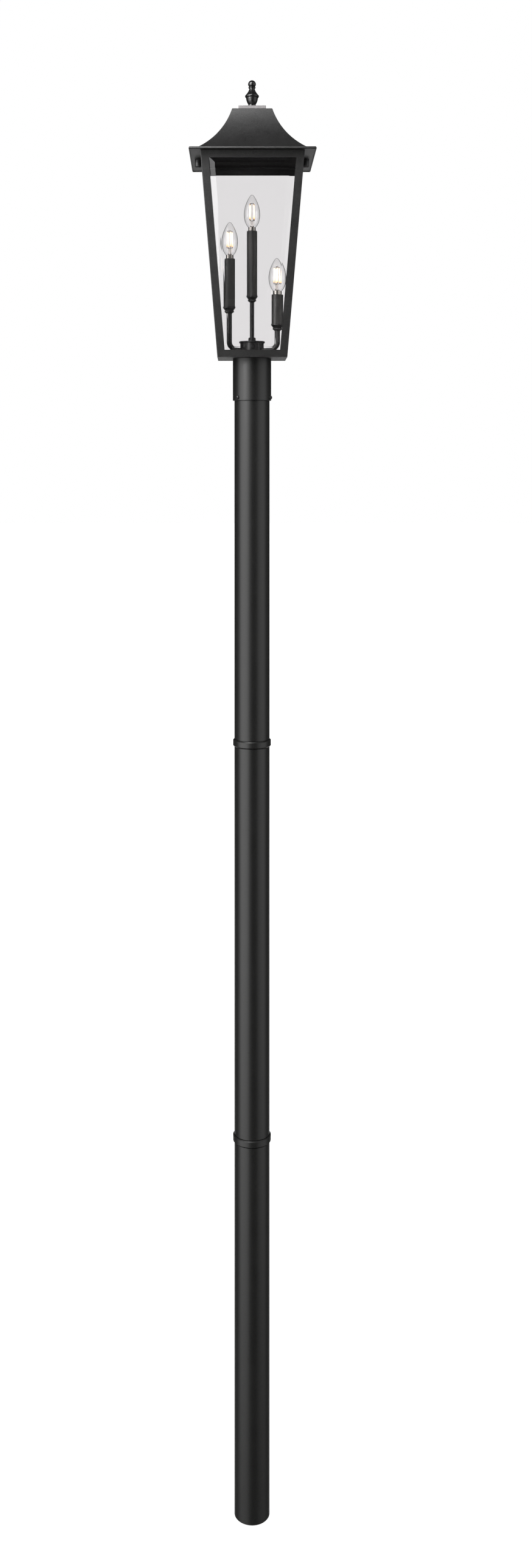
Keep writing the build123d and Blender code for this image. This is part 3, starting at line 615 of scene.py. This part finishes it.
# near lamps that only reflections see: place, the point they face, width, height and power in watts
STUDIO_LAMPS = (
    ("left_lamp", (-0.48, -0.50, 3.30), (0.0, 0.0, 2.90), 0.35, 0.60, 9.0),
    ("roof_lamp", (-0.32, -0.90, 3.83), (0.0, -0.05, 3.00), 0.24, 0.24, 11.5),
    ("bevel_lamp", (-0.47, -1.50, 2.85), (-0.10, -0.10, 2.90), 0.16, 0.60, 1.2),
    ("cluster_lamp", (-0.80, -0.86, 2.78), (0.0, 0.0, 2.62), 0.10, 0.26, 3.6),
)


def seen_directly(tree, path):
    """1 for the camera's own rays, also through glass, before they meet anything else."""
    first = tree.math("LESS_THAN", tree.math("ADD", path["Glossy Depth"], path["Diffuse Depth"]), 0.5)
    straight = tree.math("MAXIMUM", path["Is Camera Ray"], path["Is Transmission Ray"])
    return tree.math("MULTIPLY", straight, first)


def make_world():
    """White to the camera, also through glass. By direction, reflections see the soft boxes and, straight
    behind, the white backdrop, with near black between. All else is lit from all round, most from above."""
    world = bpy.data.worlds.new("studio")
    world.use_nodes = True
    world.node_tree.nodes.clear()
    tree = Tree(world.node_tree)
    way = tree.add("ShaderNodeTexCoord").outputs["Generated"]
    x, y, z = tree.add("ShaderNodeSeparateXYZ", {"Vector": way}).outputs
    degree = 180 / math.pi
    azimuth = tree.math("MULTIPLY", tree.math("ARCTAN2", x, tree.math("MULTIPLY", y, -1.0)), degree)
    elevation = tree.math("MULTIPLY", tree.math("ARCSINE", z), degree)
    either_way = tree.math("ABSOLUTE", azimuth)
    reflected = DARK_LEVEL
    for panel, turn in (*((panel, azimuth) for panel in PANELS), (BACKDROP, either_way)):
        middle, half, edge, height, half_height, height_edge, bright = panel
        across = soft_band(tree, turn, middle, half, edge)
        up = soft_band(tree, elevation, height, half_height, height_edge)
        lit = tree.math("MULTIPLY", tree.math("MULTIPLY", across, up), bright)
        reflected = tree.math("ADD", reflected, lit)
    path = tree.add("ShaderNodeLightPath").outputs
    seen = seen_directly(tree, path)
    mirrored = tree.math("GREATER_THAN", path["Glossy Depth"], 0.5)
    even = tree.ramp(elevation, DIFFUSE_FROM, DIFFUSE_TO, DIFFUSE_LOW, DIFFUSE_HIGH)
    unseen = tree.blend(mirrored, even, reflected)
    shown = tree.blend(seen, unseen, rgb(1, 1, 1))
    back = tree.add("ShaderNodeBackground", {"Color": shown, "Strength": 1.0})
    tree.feed(tree.add("ShaderNodeOutputWorld").inputs["Surface"], back.outputs["Background"])
    bpy.context.scene.world = world


def make_floor():
    """A wide white floor at the post's foot that glows to the camera and keeps the post's soft shadow."""
    corners = np.array(((-1, -1, 0), (1, -1, 0), (1, 1, 0), (-1, 1, 0)), float) * FLOOR_HALF
    mesh = bpy.data.meshes.new("floor")
    mesh.from_pydata(corners.tolist(), [], [(0, 1, 2, 3)])
    made, tree, surface = new_material("studio floor")
    seen = seen_directly(tree, tree.add("ShaderNodeLightPath").outputs)
    light = tree.add("ShaderNodeEmission", {
        "Color": rgb(1, 1, 1), "Strength": tree.math("MULTIPLY", seen, FLOOR_GLOW)})
    matt = tree.add("ShaderNodeBsdfDiffuse", {"Color": rgb(FLOOR_GREY, FLOOR_GREY, FLOOR_GREY)})
    both = tree.add("ShaderNodeAddShader", {0: light.outputs["Emission"], 1: matt.outputs["BSDF"]})
    tree.feed(surface, both.outputs["Shader"])
    mesh.materials.append(made)
    floor = bpy.data.objects.new("floor", mesh)
    bpy.context.scene.collection.objects.link(floor)
    floor.visible_glossy = False


def make_studio_lamps():
    """The near lamps, hidden from all rays but reflections."""
    for name, place, target, wide, tall, watts in STUDIO_LAMPS:
        data = bpy.data.lights.new(name, "AREA")
        data.shape = "RECTANGLE"
        data.size = wide
        data.size_y = tall
        data.energy = watts
        lamp = bpy.data.objects.new(name, data)
        lamp.location = place
        lamp.rotation_euler = (Vector(target) - Vector(place)).to_track_quat("-Z", "Y").to_euler()
        lamp.visible_camera = False
        lamp.visible_diffuse = False
        lamp.visible_transmission = False
        bpy.context.scene.collection.objects.link(lamp)


def make_camera():
    """A level camera a little below the lantern's foot, its picture shifted so that uprights stay
    upright."""
    data = bpy.data.cameras.new("camera")
    data.sensor_width = SENSOR
    data.lens = SENSOR * PIXELS_A_METRE * CAMERA_AWAY / PHOTO_TALL
    horizon_row = FOOT_ROW - CAMERA_Z * PIXELS_A_METRE
    eye_column = AXIS_COLUMN + CAMERA_X * PIXELS_A_METRE
    data.shift_x = (PHOTO_WIDE / 2 - eye_column) / PHOTO_TALL
    data.shift_y = (horizon_row - PHOTO_TALL / 2) / PHOTO_TALL
    camera = bpy.data.objects.new("camera", data)
    camera.location = (CAMERA_X, -CAMERA_AWAY, CAMERA_Z)
    camera.rotation_euler = (math.pi / 2, 0, 0)
    bpy.context.scene.collection.objects.link(camera)
    bpy.context.scene.camera = camera


make_world()
make_floor()
make_studio_lamps()
make_camera()
bpy.context.scene.view_settings.view_transform = "Standard"
